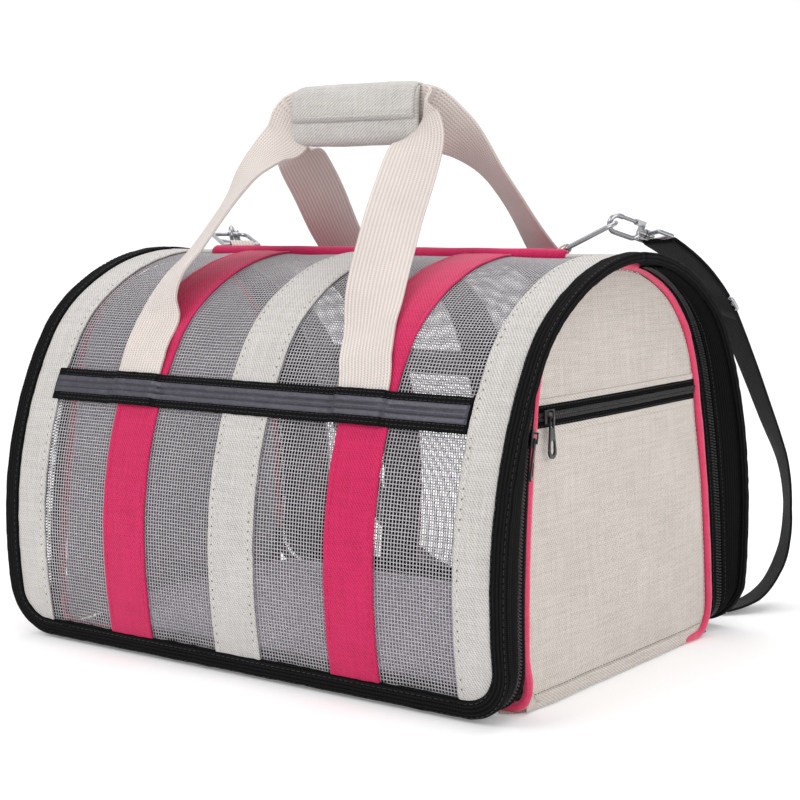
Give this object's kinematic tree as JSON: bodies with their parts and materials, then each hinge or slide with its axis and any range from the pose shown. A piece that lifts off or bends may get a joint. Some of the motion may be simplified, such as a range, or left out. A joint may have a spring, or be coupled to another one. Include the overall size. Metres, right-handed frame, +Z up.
{
  "type": "pet carrier bag",
  "caption": "Soft-sided pet carrier with arched mesh panels that meet at a ridge, a zip-open front, canvas ends, padded grip handles and a clip-on shoulder strap.",
  "frame": {"origin": "middle of the bag where its base meets the floor", "axes": "+X along the ridge towards the pocket end, -Y out of the door panel, +Z up"},
  "size_m": [0.4258, 0.4165, 0.3855],
  "materials": {
    "netting": "light grey woven netting",
    "pink_fabric": "bright pink twill",
    "cream_canvas": "cream canvas",
    "cream_webbing": "cream ribbed webbing",
    "black_tape": "black grosgrain tape",
    "black_zip_tape": "black woven zip tape",
    "zip_coil": "black nylon coil",
    "reflective_stripe": "slate reflective film",
    "black_enamel": "black enamel",
    "frame_wire": "spring steel wire",
    "board": "stiff board",
    "grey_fabric": "lilac grey pad fabric",
    "bright_metal": "bright nickel plating",
    "black_webbing": "black webbing"
  },
  "bodies": {
    "root": {"base_board": "board", "bottom_panel": "cream_canvas", "floor_mat": "grey_fabric", "front_gusset": "black_zip_tape", "front_handle": "cream_webbing", "front_zip_coil_body_half": "zip_coil", "handle_grip": "cream_canvas", "left_d_ring": "bright_metal", "left_end_panel": "cream_canvas", "left_hook_eye": "bright_metal", "left_piping": "pink_fabric", "left_ring_tab": "pink_fabric", "pocket_lining": "grey_fabric", "pocket_zip_chain": "zip_coil", "pocket_zip_tape": "black_zip_tape", "rear_band": "black_tape", "rear_binding": "black_tape", "rear_centre_cream_strip": "cream_canvas", "rear_frame_wires": "frame_wire", "rear_gusset": "black_zip_tape", "rear_handle": "cream_webbing", "rear_left_cream_strip": "cream_canvas", "rear_left_pink_strip": "pink_fabric", "rear_net": "netting", "rear_panel_gusset": "black_zip_tape", "rear_reflective_stripe": "reflective_stripe", "rear_right_cream_strip": "cream_canvas", "rear_right_pink_strip": "pink_fabric", "rear_zip_coil_body_half": "zip_coil", "rear_zip_coil_panel_half": "zip_coil", "ridge_tape": "pink_fabric", "right_d_ring": "bright_metal", "right_end_panel": "cream_canvas", "right_hook_eye": "bright_metal", "right_piping": "pink_fabric", "right_ring_tab": "pink_fabric", "shoulder_strap": "black_webbing", "strap_adjuster": "bright_metal"},
    "front_panel": {"front_band": "black_tape", "front_binding": "black_tape", "front_centre_cream_strip": "cream_canvas", "front_frame_wires": "frame_wire", "front_left_cream_strip": "cream_canvas", "front_left_pink_strip": "pink_fabric", "front_net": "netting", "front_panel_gusset": "black_zip_tape", "front_reflective_stripe": "reflective_stripe", "front_right_cream_strip": "cream_canvas", "front_right_pink_strip": "pink_fabric", "front_zip_coil_panel_half": "zip_coil"},
    "front_zip_slider": {"front_zip_slider": "black_enamel"},
    "front_zip_puller": {"front_zip_puller": "black_enamel"},
    "rear_zip_slider": {"rear_zip_slider": "black_enamel"},
    "rear_zip_puller": {"rear_zip_puller": "black_enamel"},
    "pocket_zip_slider": {"pocket_zip_slider": "black_enamel"},
    "pocket_zip_puller": {"pocket_zip_puller": "black_enamel"},
    "right_hook": {"right_hook_body": "bright_metal"},
    "right_hook_gate": {"right_hook_gate": "bright_metal"},
    "left_hook": {"left_hook_body": "bright_metal"},
    "left_hook_gate": {"left_hook_gate": "bright_metal"}
  },
  "joints": [
    {"name": "front_door", "type": "hinge", "parent": "root", "child": "front_panel", "pos_m": [0, 0, 0.2685], "axis": [-1, 0, 0], "range_deg": [0, 70], "deforming": ["front_handle"]},
    {"name": "front_zip_travel", "type": "hinge", "parent": "root", "child": "front_zip_slider", "pos_m": [0.20655, 0.38023, 0.0495], "axis": [0.9996, -0.0128, 0.0251], "range_deg": [0, 6.2]},
    {"name": "front_zip_pull", "type": "hinge", "parent": "front_zip_slider", "child": "front_zip_puller", "pos_m": [0.201, -0.11641, 0.16542], "axis": [0.3999, -0.8913, 0.2135], "range_deg": [0, 150]},
    {"name": "rear_zip_travel", "type": "hinge", "parent": "root", "child": "rear_zip_slider", "pos_m": [-0.20655, -0.38023, 0.0495], "axis": [-0.9996, 0.0128, 0.0251], "range_deg": [0, 6.2]},
    {"name": "rear_zip_pull", "type": "hinge", "parent": "rear_zip_slider", "child": "rear_zip_puller", "pos_m": [-0.201, 0.11641, 0.16542], "axis": [-0.3999, 0.8913, 0.2135], "range_deg": [0, 150]},
    {"name": "pocket_zip_travel", "type": "slide", "parent": "root", "child": "pocket_zip_slider", "axis": [0, 1, 0], "range_m": [0, 0.186]},
    {"name": "pocket_zip_pull", "type": "hinge", "parent": "pocket_zip_slider", "child": "pocket_zip_puller", "pos_m": [0.19809, -0.093, 0.17579], "axis": [0, -1, 0], "range_deg": [0, 150]},
    {"name": "right_hook_swivel", "type": "hinge", "parent": "root", "child": "right_hook", "pos_m": [0.16766, 0.03951, 0.28909], "axis": [0.47, 0.8301, -0.3], "range_deg": [-8, 8]},
    {"name": "right_hook_gate_spring", "type": "hinge", "parent": "right_hook", "child": "right_hook_gate", "pos_m": [0.1763, 0.05341, 0.28977], "axis": [0.8461, -0.5205, -0.1146], "range_deg": [0, 24], "stiffness_Nm_per_rad": 0.01, "springref_deg": -22.92},
    {"name": "left_hook_swivel", "type": "hinge", "parent": "root", "child": "left_hook", "pos_m": [-0.17139, 0.0404, 0.28046], "axis": [-0.47, 0.8301, -0.3], "range_deg": [-8, 8]},
    {"name": "left_hook_gate_spring", "type": "hinge", "parent": "left_hook", "child": "left_hook_gate", "pos_m": [-0.1802, 0.05421, 0.28112], "axis": [0.8373, 0.5269, 0.1459], "range_deg": [0, 24], "stiffness_Nm_per_rad": 0.01, "springref_deg": -22.92}
  ]
}
